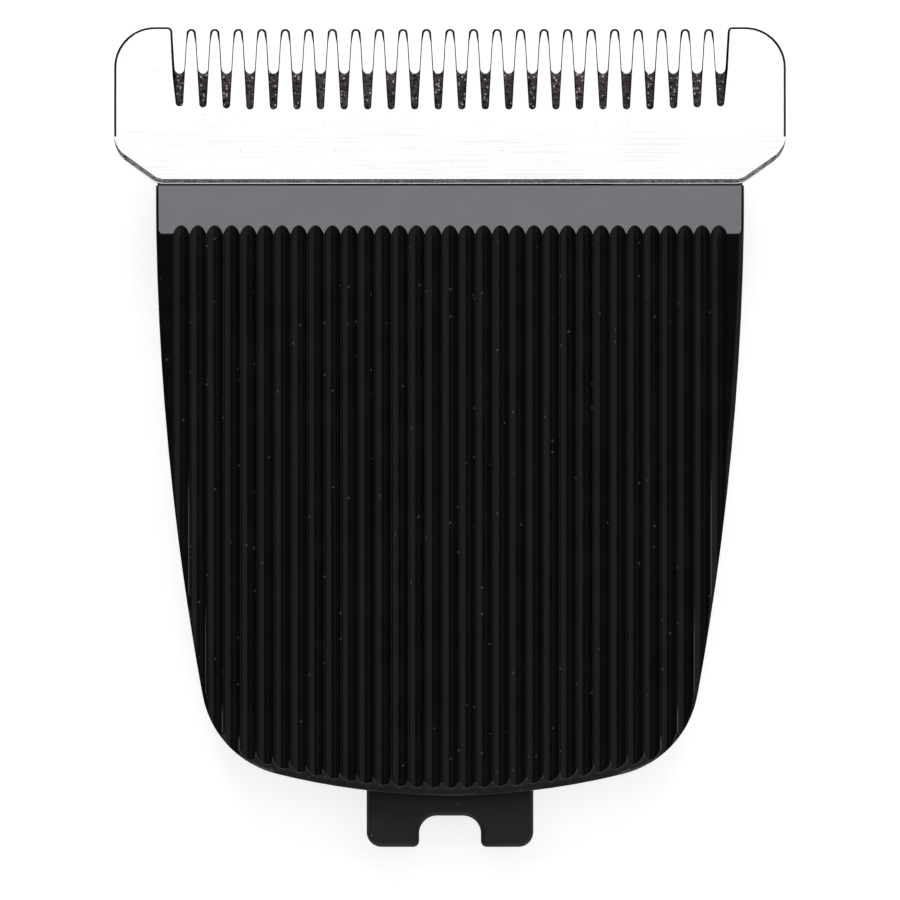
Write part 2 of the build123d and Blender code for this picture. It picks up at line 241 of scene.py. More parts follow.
@dataclass
class EffectShelf:
    """Builds the shader node groups of the shared effects once.

    Attributes:
        drift_detail: Octaves of the slow drift of tone.
        drift_span: Values of its noise where the tone starts and is full.
        pebble_detail: Octaves of the pebbled height.
        line_detail: Octaves of the grinding lines.
        line_weight: Weight of each octave of the lines for the one before it.
        line_span: Values of their noise where the tone starts and is full.
        dot_core: Share of a speck's radius that is covered fully.
    """

    drift_detail: float = 4.0
    drift_span: Span = (0.32, 0.68)
    pebble_detail: float = 2.0
    line_detail: float = 4.0
    line_weight: float = 0.65
    line_span: Span = (0.3, 0.7)
    dot_core: float = 0.55

    def build(self) -> None:
        """Makes all groups."""
        self.grain()
        self.lines()
        self.specks()

    def start(
        self, effect: Effect, inputs: tuple[str, ...], outputs: tuple[str, ...],
    ) -> tuple[Wiring, bpy.types.NodeOutputs, bpy.types.NodeInputs]:
        """Starts a group with its sockets.

        Args:
            effect: Which effect the group is for.
            inputs: Names of its number inputs, beside its Vector.
            outputs: Names of its number outputs.

        Returns:
            The group's wiring, the sockets that give its inputs and those that take its outputs.
        """
        tree = bpy.data.node_groups.new(effect.value, "ShaderNodeTree")
        tree.interface.new_socket("Vector", in_out="INPUT", socket_type="NodeSocketVector")
        for name in inputs:
            tree.interface.new_socket(name, in_out="INPUT", socket_type="NodeSocketFloat")
        for name in outputs:
            tree.interface.new_socket(name, in_out="OUTPUT", socket_type="NodeSocketFloat")
        wiring = Wiring(tree)
        entry = wiring.node("NodeGroupInput")
        leave = wiring.node("NodeGroupOutput")
        return wiring, entry.outputs, leave.inputs

    def grain(self) -> None:
        """Moulded grain: a slow drift of tone and a fine pebbled height."""
        wiring, given, result = self.start(Effect.GRAIN, ("Drift", "Grain"), ("Tone", "Height"))
        drift = wiring.node(
            "ShaderNodeTexNoise", Vector=given["Vector"], Scale=given["Drift"], Detail=self.drift_detail,
        )
        pebble = wiring.node(
            "ShaderNodeTexNoise", Vector=given["Vector"], Scale=given["Grain"], Detail=self.pebble_detail,
        )
        wiring.feed(result["Tone"], wiring.ramp(drift.outputs["Fac"], *self.drift_span))
        wiring.feed(result["Height"], pebble.outputs["Fac"])

    def lines(self) -> None:
        """Grinding lines: noise drawn out along X."""
        wiring, given, result = self.start(Effect.LINES, ("Along", "Across"), ("Tone", "Height"))
        stretch = wiring.node(
            "ShaderNodeCombineXYZ", X=given["Along"], Y=given["Across"], Z=given["Across"],
        )
        drawn = wiring.node("ShaderNodeVectorMath", {"operation": "MULTIPLY"})
        wiring.feed(drawn.inputs[0], given["Vector"])
        wiring.feed(drawn.inputs[1], stretch.outputs[0])
        noise = wiring.node(
            "ShaderNodeTexNoise", Vector=drawn.outputs[0], Scale=1.0, Detail=self.line_detail,
            Roughness=self.line_weight,
        )
        wiring.feed(result["Tone"], wiring.ramp(noise.outputs["Fac"], *self.line_span))
        wiring.feed(result["Height"], noise.outputs["Fac"])

    def specks(self) -> None:
        """Loose specks: small dots at some of the places of a random pattern."""
        wiring, given, result = self.start(Effect.SPECKS, ("Places", "Size", "Share"), ("Mask",))
        cells = wiring.node("ShaderNodeTexVoronoi", Vector=given["Vector"], Scale=given["Places"])
        edge = wiring.math("DIVIDE", cells.outputs["Distance"], given["Size"])
        dot = wiring.ramp(edge, self.dot_core, 1.0, 1.0, 0.0)
        chance = wiring.node("ShaderNodeSeparateColor", Color=cells.outputs["Color"]).outputs["Red"]
        kept = wiring.math("LESS_THAN", chance, given["Share"])
        wiring.feed(result["Mask"], wiring.math("MULTIPLY", dot, kept))


def new_material(name: str) -> tuple[bpy.types.Material, Wiring, bpy.types.NodeInputs]:
    """Starts a material.

    Args:
        name: Its name.

    Returns:
        The material, the wiring of its nodes and its shader's inputs.
    """
    made = bpy.data.materials.new(name)
    made.use_nodes = True
    return made, Wiring(made.node_tree), made.node_tree.nodes["Principled BSDF"].inputs


@dataclass(frozen=True)
class Steel:
    """Ground steel finish.

    Attributes:
        name: Name of the material.
        colour: Bright tone of the metal.
        shade: Darker tone in the grinding lines.
        pit: Tone of pits and of what sticks in them.
        roughness: Roughness between the lines.
        across: Grinding lines to the metre.
        pits: Share of the pit places that are filled.
        relief: Height of the lines in metres.
        drawn: Length of the lines for their width.
        cut: Painted shade on the cut edges and walls, a near-black tone in place of their dark reflections,
            or None where they are as bright.
        cut_roughness: Roughness of the cut edges, walls and bevels.
        bevel: Dark and light tone of the painted shade on the bevels at half a right angle, where edges are
            cut, mixed at random in spots.
        bevel_below: Y below which there are such bevels.
        patches: Patches of drifting roughness to the metre.
        spread: Share by which the roughness drifts.
        line_roughness: Roughness that the lines add.
        pit_places: Pit places to the metre.
        pit_size: Radius of a pit, as a share of the space between places.
        tears: Spots on the bevels to the metre.
        tear_span: Values of their noise where the light tone starts and is full.
        wall_span: Upright parts of the normal where walls end and faces start.
        bevel_span: Differences from a bevel's upright part where bevels end and the rest starts.
    """

    name: str
    colour: Colour
    shade: Colour
    pit: Colour
    roughness: float
    across: float
    pits: float
    relief: float
    drawn: float = 60.0
    cut: Colour | None = None
    cut_roughness: float = 0.5
    bevel: tuple[Colour, Colour] | None = None
    bevel_below: float = 0.0
    patches: float = 260.0
    spread: float = 0.15
    line_roughness: float = 0.06
    pit_places: float = 5200.0
    pit_size: float = 0.42
    tears: float = 9000.0
    tear_span: Span = (0.4, 0.65)
    wall_span: Span = (0.93, 0.985)
    bevel_span: Span = (0.08, 0.14)

    def material(self) -> bpy.types.Material:
        """Makes the material.

        Returns:
            The material, with its nodes.
        """
        made, wiring, shader = new_material(self.name)
        surface = wiring.node("ShaderNodeTexCoord").outputs
        place = surface["Object"]
        lines = wiring.effect(
            Effect.LINES, Vector=place, Along=self.across / self.drawn, Across=self.across,
        )
        drift = wiring.effect(Effect.GRAIN, Vector=place, Drift=self.patches, Grain=self.tears)
        pits = wiring.effect(
            Effect.SPECKS, Vector=place, Places=self.pit_places, Size=self.pit_size, Share=self.pits,
        )
        toned = wiring.blend(lines.outputs["Tone"], self.shade, self.colour)
        toned = wiring.blend(pits.outputs["Mask"], toned, self.pit)
        plain = wiring.drift(drift.outputs["Tone"], self.roughness, self.spread)
        scored = wiring.ramp(lines.outputs["Tone"], 0.0, 1.0, self.line_roughness, 0.0)
        rough = wiring.math("ADD", plain, scored)
        # Painted shade: faces that turn away from the flat face take the near-black cut tone, and bevels at
        # half a right angle a darker tone mixed in spots.
        if self.cut is not None:
            upright = wiring.math("ABSOLUTE", wiring.part(surface["Normal"], "Z"))
            steep = wiring.ramp(upright, *self.wall_span, 1.0, 0.0)
            off_bevel = wiring.math("ABSOLUTE", wiring.math("SUBTRACT", upright, BEVEL_UPRIGHT))
            lower = wiring.math("LESS_THAN", wiring.part(place, "Y"), self.bevel_below)
            bevelled = wiring.math("MULTIPLY", lower, wiring.ramp(off_bevel, *self.bevel_span, 1.0, 0.0))
            bevel_shade_tone = wiring.blend(wiring.ramp(drift.outputs["Height"], *self.tear_span), *self.bevel)
            toned = wiring.blend(steep, toned, wiring.blend(bevelled, self.cut, bevel_shade_tone))
            rough = wiring.math("MAXIMUM", rough, wiring.ramp(steep, 0.0, 1.0, 0.0, self.cut_roughness))
        wiring.feed(shader["Base Color"], toned)
        wiring.feed(shader["Roughness"], rough)
        wiring.feed(shader["Metallic"], 1.0)
        bump = wiring.node("ShaderNodeBump", Height=lines.outputs["Height"], Distance=self.relief)
        wiring.feed(shader["Normal"], bump.outputs["Normal"])
        return made


@dataclass(frozen=True)
class Plastic:
    """Moulded plastic finish.

    Attributes:
        name: Name of the material.
        colour: Usual tone.
        drift: Tone that it drifts to.
        dust: Tone of the dust on it.
        roughness: Usual roughness.
        relief: Height of the grain in metres.
        grain: Grains to the metre.
        dusted: Share of the dust places that are filled.
        specular: Strength of its plain reflection.
        polished_from: Y from which the surface is polished and clean, or None.
        polish: Roughness where it is polished.
        polish_edge: Width over which the polish sets in, in metres.
        patches: Patches of drifting tone to the metre.
        spread: Share by which the roughness drifts.
        dust_places: Dust places to the metre.
        dust_size: Radius of a speck, as a share of the space between places.
    """

    name: str
    colour: Colour
    drift: Colour
    dust: Colour
    roughness: float
    relief: float
    grain: float
    dusted: float
    specular: float = 0.5
    polished_from: float | None = None
    polish: float = 0.2
    polish_edge: float = 0.2 * MM
    patches: float = 420.0
    spread: float = 0.1
    dust_places: float = 1900.0
    dust_size: float = 0.2

    def material(self) -> bpy.types.Material:
        """Makes the material.

        Returns:
            The material, with its nodes.
        """
        made, wiring, shader = new_material(self.name)
        place = wiring.node("ShaderNodeTexCoord").outputs["Object"]
        grain = wiring.effect(Effect.GRAIN, Vector=place, Drift=self.patches, Grain=self.grain)
        dust = wiring.effect(
            Effect.SPECKS, Vector=place, Places=self.dust_places, Size=self.dust_size, Share=self.dusted,
        )
        toned = wiring.blend(grain.outputs["Tone"], self.colour, self.drift)
        mask = dust.outputs["Mask"]
        rough = wiring.drift(grain.outputs["Tone"], self.roughness, self.spread)
        if self.polished_from is not None:
            start = self.polished_from - self.polish_edge
            plain = wiring.ramp(wiring.part(place, "Y"), start, self.polished_from, 1.0, 0.0)
            mask = wiring.math("MULTIPLY", mask, plain)
            share = wiring.ramp(plain, 0.0, 1.0, self.polish / self.roughness, 1.0)
            rough = wiring.math("MULTIPLY", rough, share)
        wiring.feed(shader["Base Color"], wiring.blend(mask, toned, self.dust))
        wiring.feed(shader["Roughness"], rough)
        wiring.feed(shader["Specular IOR Level"], self.specular)
        bump = wiring.node("ShaderNodeBump", Height=grain.outputs["Height"], Distance=self.relief)
        wiring.feed(shader["Normal"], bump.outputs["Normal"])
        return made


@cache
def material_of(finish: Steel | Plastic) -> bpy.types.Material:
    """Makes a finish's material once."""
    return finish.material()


def select_only(piece: bpy.types.Object) -> None:
    """Makes one piece the only selected and the active one.

    Args:
        piece: Piece to select.
    """
    bpy.ops.object.select_all(action="DESELECT")
    piece.select_set(True)
    bpy.context.view_layer.objects.active = piece


def apply_modifier(piece: bpy.types.Object, kind: str, **settings: object) -> None:
    """Adds a modifier to a piece and applies it.

    Args:
        piece: Piece to change.
        kind: Blender's name of the modifier type.
        settings: Properties of the modifier.
    """
    select_only(piece)
    bpy.ops.object.modifier_add(type=kind)
    modifier = piece.modifiers[-1]
    for key, value in settings.items():
        setattr(modifier, key, value)
    bpy.ops.object.modifier_apply(modifier=modifier.name)


def pick(piece: bpy.types.Object, wanted: Test) -> None:
    """Opens a piece in edit mode with the wanted vertices, and what lies between them, selected.

    Args:
        piece: Piece to open.
        wanted: Says of a vertex's place whether it is picked.
    """
    select_only(piece)
    bpy.context.tool_settings.mesh_select_mode = (True, False, False)
    bpy.ops.object.mode_set(mode="EDIT")
    bpy.ops.mesh.select_all(action="DESELECT")
    bpy.ops.object.mode_set(mode="OBJECT")
    for vertex in piece.data.vertices:
        vertex.select = wanted(vertex.co)
    bpy.ops.object.mode_set(mode="EDIT")


def pick_upright(piece: bpy.types.Object, wanted: Test) -> None:
    """Opens a piece in edit mode with its upright edges at the wanted places selected.

    Args:
        piece: Piece to open.
        wanted: Says of the place of an edge's end whether the edge may be picked.
    """
    pick(piece, lambda place: False)
    bpy.context.tool_settings.mesh_select_mode = (False, True, False)
    bpy.ops.object.mode_set(mode="OBJECT")
    for edge in piece.data.edges:
        first, second = (piece.data.vertices[index].co for index in edge.vertices)
        edge.select = wanted(first) and wanted(second) and (first - second).xy.length < MERGED
    bpy.ops.object.mode_set(mode="EDIT")


def close_up() -> None:
    """Leaves edit mode."""
    bpy.ops.object.mode_set(mode="OBJECT")


def smooth(piece: bpy.types.Object, crease: Test | None = None) -> None:
    """Shades a piece smooth up to an angle, with its flat faces kept flat.

    Args:
        piece: Piece to shade.
        crease: Says of a vertex's place whether it lies on a line that stays sharp.
    """
    select_only(piece)
    bpy.ops.object.shade_smooth_by_angle(angle=SMOOTH_ANGLE)
    if crease is not None:
        pick(piece, crease)
        bpy.ops.mesh.mark_sharp()
        close_up()
    apply_modifier(piece, "WEIGHTED_NORMAL", mode="FACE_AREA", keep_sharp=True)


@dataclass(frozen=True)
class Easing:
    """How the edges of a copied node are eased.

    Attributes:
        width: Width that is taken off each edge, in metres.
        crease: Test for the places of a line that stays sharp.
        finer: Tests for the places of edges that are eased less, each with the share of the width
            that they lose.
        split: Y where the faces are split, so that the easing can end there, or None.
        rounded: Test for the places of upright edges that are rounded first, or None.
        round_width: Width of that rounding.
        steps: Faces across an eased or rounded edge.
    """

    width: float
    crease: Test | None = None
    finer: tuple[tuple[Test, float], ...] = ()
    split: float | None = None
    rounded: Test | None = None
    round_width: float = 0.09 * MM
    steps: int = 3


def eased_copy(node: str, name: str, easing: Easing) -> bpy.types.Object:
    """Copies a node of the frame and eases its edges.

    Args:
        node: Node to copy.
        name: Name of the new piece.
        easing: How its edges are eased.

    Returns:
        The new piece.
    """
    piece = bpy.data.objects.new(name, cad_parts[node].data.copy())
    bpy.context.scene.collection.objects.link(piece)
    piece.data.materials.clear()
    select_only(piece)
    bpy.ops.mesh.customdata_custom_splitnormals_clear()
    pick(piece, lambda place: True)
    bpy.ops.mesh.remove_doubles(threshold=MERGED)
    bpy.ops.mesh.dissolve_limited(angle_limit=FLAT_ANGLE)
    if easing.split is not None:
        bpy.ops.mesh.select_all(action="SELECT")
        bpy.ops.mesh.bisect(plane_co=(0.0, easing.split, 0.0), plane_no=(0.0, 1.0, 0.0))
    close_up()
    if easing.rounded is not None:
        pick_upright(piece, easing.rounded)
        bpy.ops.mesh.bevel(
            offset=easing.round_width, segments=easing.steps, profile=ROUND_PROFILE, affect="EDGES",
        )
        close_up()
    pick_upright(piece, lambda place: False)
    bpy.ops.mesh.edges_select_sharp(sharpness=SHARP_ANGLE)
    bpy.ops.transform.edge_bevelweight(value=1.0)
    close_up()
    for wanted, loss in easing.finer:
        pick(piece, wanted)
        bpy.ops.transform.edge_bevelweight(value=-loss)
        close_up()
    apply_modifier(
        piece, "BEVEL", width=easing.width, segments=easing.steps, limit_method="WEIGHT",
        use_clamp_overlap=False,
    )
    smooth(piece, easing.crease)
    return piece


def hand_over(piece: bpy.types.Object, body: Body, finish: Steel | Plastic, node: str) -> None:
    """Gives a finished piece its material and its body, and hides the node of the frame that it stands for.

    Args:
        piece: Finished piece.
        body: Body that it rides on.
        finish: Its finish.
        node: Node of the frame that it stands for.
    """
    piece.data.materials.append(material_of(finish))
    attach(piece, body.value)
    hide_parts(node)
    LOG.info("%s rides on %s with %d faces", piece.name, body.value, len(piece.data.polygons))


@dataclass
class BladePair:
    """Fixed comb plate and the cutter plate that slides behind it.

    Attributes:
        outline_edge: Easing of the comb's outline.
        gap_loss: Share of it that the gaps' edges lose.
        lower_loss: Share of it that the lower edges lose.
        corner_loss: Share of it that the lower corners lose as well.
        cutter_edge: Easing of the cutter.
        lobe_width: Width of an end lobe, with some of the gap beside it.
        gap_width: Width beside it where no tip is rounded.
        tip_length: Length of the tooth tips that are eased and rounded as the outline.
        corner_width: Width of the lower corners, where the lower bevel runs out.
        side_end: Distance below the line where the grinding starts at which the sides' easing ends.
        near: Distance below which places are the same.
        polished: Finish of the comb.
        dark: Finish of the cutter.
    """

    outline_edge: float = 0.2 * MM
    gap_loss: float = 0.6
    lower_loss: float = 0.91
    corner_loss: float = 1.0
    cutter_edge: float = 0.08 * MM
    lobe_width: float = 3.85 * MM
    gap_width: float = 0.6 * MM
    tip_length: float = 0.36 * MM
    corner_width: float = 1.25 * MM
    side_end: float = 1.52 * MM
    near: float = 0.004 * MM
    polished: Steel = Steel(
        "polished_steel",
        colour=(0.88, 0.88, 0.875),
        shade=(0.83, 0.83, 0.83),
        pit=(0.7, 0.69, 0.67),
        roughness=0.13,
        across=7000.0,
        pits=0.004,
        relief=0.001 * MM,
        # Near-black painted shade on walls and edges, and darker painted shade in spots on the lower bevels
        cut=(0.012, 0.0115, 0.011),
        cut_roughness=0.45,
        bevel=((0.12, 0.113, 0.108), (0.52, 0.5, 0.48)),
    )
    dark: Steel = Steel(
        "cutter_steel",
        colour=(0.2, 0.162, 0.157),
        shade=(0.004, 0.0035, 0.0035),
        pit=(0.8, 0.75, 0.7),
        roughness=0.42,
        across=5500.0,
        pits=0.34,
        relief=0.004 * MM,
        drawn=1.5,
    )

    def grind_start(self) -> tuple[float, float]:
        """Finds the line where the flat face turns down to the ground teeth.

        Returns:
            Y and Z of the line.
        """
        places = [vertex.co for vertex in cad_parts["fixed_blade"].data.vertices]
        face = max(place.z for place in places)
        return max(place.y for place in places if place.z > face - self.near), face

    def grind_line(self) -> Test:
        """Gives the test for that line."""
        line, face = self.grind_start()
        return lambda place: abs(place.y - line) < self.near and abs(place.z - face) < self.near

    def easing(self) -> Easing:
        """Works out the comb's easing, which is finer in the gaps and on the lower edges.

        Returns:
            The easing.
        """
        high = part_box("fixed_blade")[1]
        line = self.grind_start()[0] + self.near
        end = line - self.side_end
        reach = high.x - self.lobe_width
        shoulder = high.y - self.tip_length
        corner = high.x - self.corner_width
        finer = (
            (lambda place: abs(place.x) < reach and line < place.y < shoulder, self.gap_loss),
            (lambda place: place.y < end + self.near, self.lower_loss),
            (lambda place: place.y < end + self.near and abs(place.x) > corner, self.corner_loss),
        )
        return Easing(
            self.outline_edge, self.grind_line(), finer, split=end,
            rounded=lambda place: abs(place.x) < reach - self.gap_width and place.y > shoulder,
        )

    def build(self) -> None:
        """Builds both plates."""
        comb = eased_copy("fixed_blade", "comb_plate", self.easing())
        finish = replace(self.polished, bevel_below=self.grind_start()[0] - self.side_end)
        hand_over(comb, Body.HOUSING, finish, "fixed_blade")
        cutter = eased_copy("moving_blade", "cutter_plate", Easing(self.cutter_edge))
        hand_over(cutter, Body.CUTTER, self.dark, "moving_blade")


@dataclass
class CoverShell:
    """Fluted outer cover with its polished band.

    Attributes:
        edge: Easing of its edges.
    """

    edge: float = 0.03 * MM

    def crease(self) -> float:
        """Gives Y of the cover's highest line, where the band meets the flutes."""
        return max(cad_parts["ribbed_cover"].data.vertices, key=lambda vertex: vertex.co.z).co.y

    def finish(self) -> Plastic:
        """Works out the cover's finish, which is polished on the band.

        Returns:
            The finish.
        """
        return Plastic(
            "cover_plastic",
            colour=(0.0028, 0.0029, 0.0025),
            drift=(0.0042, 0.0043, 0.0038),
            dust=(0.06, 0.06, 0.058),
            roughness=0.13,
            relief=0.002 * MM,
            grain=8000.0,
            dusted=0.1,
            polished_from=self.crease(),
            polish=0.19,
        )

    def build(self) -> None:
        """Builds the cover."""
        cover = eased_copy("ribbed_cover", "cover_shell", Easing(self.edge))
        hand_over(cover, Body.HOUSING, self.finish(), "ribbed_cover")


@dataclass
class Carrier:
    """Base moulding, cutter holder and leaf springs behind the blades.

    Attributes:
        edge: Easing of the base and the holder.
        leaf_edge: Easing of the springs.
        base_finish: Finish of the base.
        holder_finish: Finish of the holder.
        leaf_finish: Finish of the springs.
    """

    edge: float = 0.06 * MM
    leaf_edge: float = 0.03 * MM
    base_finish: Plastic = Plastic(
        "frame_plastic",
        colour=(0.0092, 0.0083, 0.0086),
        drift=(0.0114, 0.0104, 0.0107),
        dust=(0.07, 0.07, 0.068),
        roughness=0.55,
        relief=0.004 * MM,
        grain=6000.0,
        dusted=0.04,
        specular=0.3,
    )
    holder_finish: Plastic = Plastic(
        "holder_plastic",
        colour=(0.15, 0.15, 0.155),
        drift=(0.18, 0.18, 0.185),
        dust=(0.35, 0.35, 0.34),
        roughness=0.35,
        relief=0.002 * MM,
        grain=7000.0,
        dusted=0.02,
    )
    leaf_finish: Steel = Steel(
        "spring_steel",
        colour=(0.36, 0.35, 0.33),
        shade=(0.26, 0.25, 0.24),
        pit=(0.2, 0.19, 0.18),
        roughness=0.34,
        across=6000.0,
        pits=0.03,
        relief=0.002 * MM,
    )

    def build(self) -> None:
        """Builds the carrier's pieces."""
        base = eased_copy("base_frame", "base_moulding", Easing(self.edge))
        hand_over(base, Body.HOUSING, self.base_finish, "base_frame")
        holder = eased_copy("cutter_holder", "cutter_carrier", Easing(self.edge))
        hand_over(holder, Body.CUTTER, self.holder_finish, "cutter_holder")
        for side in ("left", "right"):
            leaf = eased_copy(f"spring_{side}", f"leaf_{side}", Easing(self.leaf_edge))
            hand_over(leaf, Body.HOUSING, self.leaf_finish, f"spring_{side}")


@dataclass
class ScrewPair:
    """Two equal pan-head screws with a cross recess and a real thread.

    Attributes:
        node: Node of the frame that the pair stands for.
        name: Name of the piece.
        head_height: Height of the head.
        head_round: Rounding of the head's rim.
        core_radius: Radius of the shank under its thread.
        crest_radius: Radius of the thread.
        crest_flat: Width of the thread's ridge at its crest.
        root_width: Width of the ridge inside the shank.
        pitch: Rise of one turn.
        neck: Length of the shank below the head that has no thread.
        point: Rounding of the shank's end.
        bar_length: Length of a bar of the cross.
        bar_width: Its width.
        bar_depth: Its depth.
        bar_taper: Size of its bottom, as a share of its top.
        sink: Depth by which solids that are joined overlap.
        near: Distance below which levels are the same.
        sides: Sides of a rod.
        round_steps: Faces across a rounding.
        turn_steps: Faces along one turn of the thread.
        ridge_corners: Corners of the ridge's section.
        plated: Finish of the pair.
    """

    node: str
    name: str
    head_height: float = 1.2 * MM
    head_round: float = 0.5 * MM
    core_radius: float = 0.8 * MM
    crest_radius: float = 0.99 * MM
    crest_flat: float = 0.06 * MM
    root_width: float = 0.34 * MM
    pitch: float = 0.5 * MM
    neck: float = 0.5 * MM
    point: float = 0.3 * MM
    bar_length: float = 2.2 * MM
    bar_width: float = 0.5 * MM
    bar_depth: float = 0.7 * MM
    bar_taper: float = 0.62
    sink: float = 0.1 * MM
    near: float = 0.01 * MM
    sides: int = 48
    round_steps: int = 5
    turn_steps: int = 24
    ridge_corners: int = 4
    plated: Steel = Steel(
        "screw_steel",
        colour=(0.56, 0.56, 0.55),
        shade=(0.46, 0.46, 0.45),
        pit=(0.2, 0.19, 0.18),
        roughness=0.28,
        across=3000.0,
        pits=0.04,
        relief=0.002 * MM,
    )

    def rod(self, radius: float, low: float, high: float) -> bpy.types.Object:
        """Adds an upright rod on the Z axis.

        Args:
            radius: Its radius.
            low: Its lower level.
            high: Its upper level.

        Returns:
            The rod.
        """
        bpy.ops.object.select_all(action="DESELECT")
        middle = (0.0, 0.0, (low + high) / 2)
        bpy.ops.mesh.primitive_cylinder_add(
            vertices=self.sides, radius=radius, depth=high - low, location=middle,
        )
        bpy.ops.object.transform_apply()
        return bpy.context.object

    def round_end(self, rod: bpy.types.Object, level: float, width: float) -> None:
        """Rounds the end of a rod.

        Args:
            rod: Rod to round.
            level: Level of that end.
            width: Width of the rounding.
        """
        pick(rod, lambda place: abs(place.z - level) < self.near)
        bpy.ops.mesh.bevel(
            offset=width, segments=self.round_steps, profile=ROUND_PROFILE, affect="EDGES",
        )
        close_up()

    def join_in(self, piece: bpy.types.Object, other: bpy.types.Object, operation: str) -> None:
        """Joins another solid to a piece, or cuts it out, and removes it.

        Args:
            piece: Piece to change.
            other: The other solid.
            operation: Blender's name of the boolean operation.
        """
        apply_modifier(piece, "BOOLEAN", operation=operation, object=other, solver="EXACT")
        bpy.data.objects.remove(other)

    def bar(self, turn: float) -> bpy.types.Object:
        """Adds one tapered bar of the cross that is cut into the head.

        Args:
            turn: Its angle about the Z axis in degrees.

        Returns:
            The bar.
        """
        bpy.ops.object.select_all(action="DESELECT")
        bpy.ops.mesh.primitive_cube_add(
            size=1.0, location=(0.0, 0.0, -self.head_height), rotation=(0.0, 0.0, math.radians(turn)),
            scale=(self.bar_length, self.bar_width, 2 * self.bar_depth),
        )
        bpy.ops.object.transform_apply()
        bar = bpy.context.object
        pick(bar, lambda place: place.z > -self.head_height)
        bpy.ops.transform.resize(value=(self.bar_taper, self.bar_taper, 1.0))
        close_up()
        return bar

    def thread(self, low: float, high: float) -> bpy.types.Object:
        """Winds the thread's ridge round the Z axis.

        Args:
            low: Level where it starts.
            high: Level where it ends.

        Returns:
            The ridge, as a closed solid.
        """
        inner = self.core_radius - self.sink
        bpy.ops.object.select_all(action="DESELECT")
        middle = ((inner + self.crest_radius) / 2, 0.0, low)
        bpy.ops.mesh.primitive_plane_add(size=1.0, location=middle, rotation=(math.pi / 2, 0.0, 0.0))
        ridge = bpy.context.object
        ridge.scale = (self.crest_radius - inner, self.root_width, 1.0)
        bpy.ops.object.transform_apply()
        pick(ridge, lambda place: place.x > self.core_radius)
        bpy.ops.transform.resize(value=(1.0, 1.0, self.crest_flat / self.root_width))
        bpy.ops.mesh.select_all(action="SELECT")
        bpy.ops.mesh.delete(type="ONLY_FACE")
        close_up()
        turns = math.floor((high - low - self.root_width) / self.pitch)
        apply_modifier(
            ridge, "SCREW", axis="Z", angle=math.tau, screw_offset=self.pitch, iterations=turns,
            steps=self.turn_steps, render_steps=self.turn_steps,
        )
        pick(ridge, lambda place: True)
        bpy.ops.mesh.remove_doubles(threshold=MERGED)
        bpy.ops.mesh.fill_holes(sides=self.ridge_corners)
        bpy.ops.mesh.normals_make_consistent(inside=False)
        close_up()
        return ridge

    def screw(self, head_radius: float, length: float) -> bpy.types.Object:
        """Makes one screw with its seat at the origin and its head below it.

        Args:
            head_radius: Radius of the head.
            length: Length of the shank.

        Returns:
            The screw.
        """
        made = self.rod(head_radius, -self.head_height, 0.0)
        self.round_end(made, -self.head_height, self.head_round)
        for turn in (0.0, 90.0):
            self.join_in(made, self.bar(turn), "DIFFERENCE")
        shank = self.rod(self.core_radius, -self.sink, length)
        self.round_end(shank, length, self.point)
        self.join_in(shank, self.thread(self.neck, length - self.point), "UNION")
        self.join_in(made, shank, "UNION")
        return made

    def build(self) -> None:
        """Builds the pair in the place of its node."""
        low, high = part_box(self.node)
        head_radius = (high.y - low.y) / 2
        seat = low.z + self.head_height
        first = self.screw(head_radius, high.z - seat)
        select_only(first)
        bpy.ops.object.duplicate()
        second = bpy.context.object
        for screw, x in ((first, low.x + head_radius), (second, high.x - head_radius)):
            select_only(screw)
            bpy.ops.transform.translate(value=(x, (low.y + high.y) / 2, seat))
            bpy.ops.object.transform_apply()
        first.select_set(True)
        bpy.context.view_layer.objects.active = first
        bpy.ops.object.join()
        first.name = self.name
        smooth(first)
        hand_over(first, Body.HOUSING, self.plated, self.node)


@dataclass(frozen=True)
class Softbox:
    """Rectangular lamp that faces the head.

    Attributes:
        name: Name of the lamp.
        lean: Angle from straight above towards the tooth tips, in degrees.
        distance: Distance from the head in metres.
        width: Size across in metres.
        depth: Size the other way in metres.
        radiance: Brightness of its face.
        aside: Angle from straight above towards +X, in degrees.
        tint: Colour of its light.
    """

    name: str
    lean: float
    distance: float
    width: float
    depth: float
    radiance: float
    aside: float = 0.0
    tint: Colour = WHITE

    def build(self, target: Vector) -> None:
        """Adds the lamp.

        Args:
            target: Point that it faces.
        """
        slopes = [math.tan(math.radians(angle)) for angle in (self.aside, self.lean)]
        away = Vector((*slopes, 1.0)).normalized()
        bpy.ops.object.light_add(type="AREA", location=target + away * self.distance)
        lamp = bpy.context.object
        lamp.name = self.name
        lamp.rotation_euler = away.to_track_quat("Z", "Y").to_euler()
        lamp.data.shape = "RECTANGLE"
        lamp.data.size = self.width
        lamp.data.size_y = self.depth
        lamp.data.energy = self.radiance * math.pi * self.width * self.depth
        lamp.data.color = self.tint
        lamp.visible_camera = False


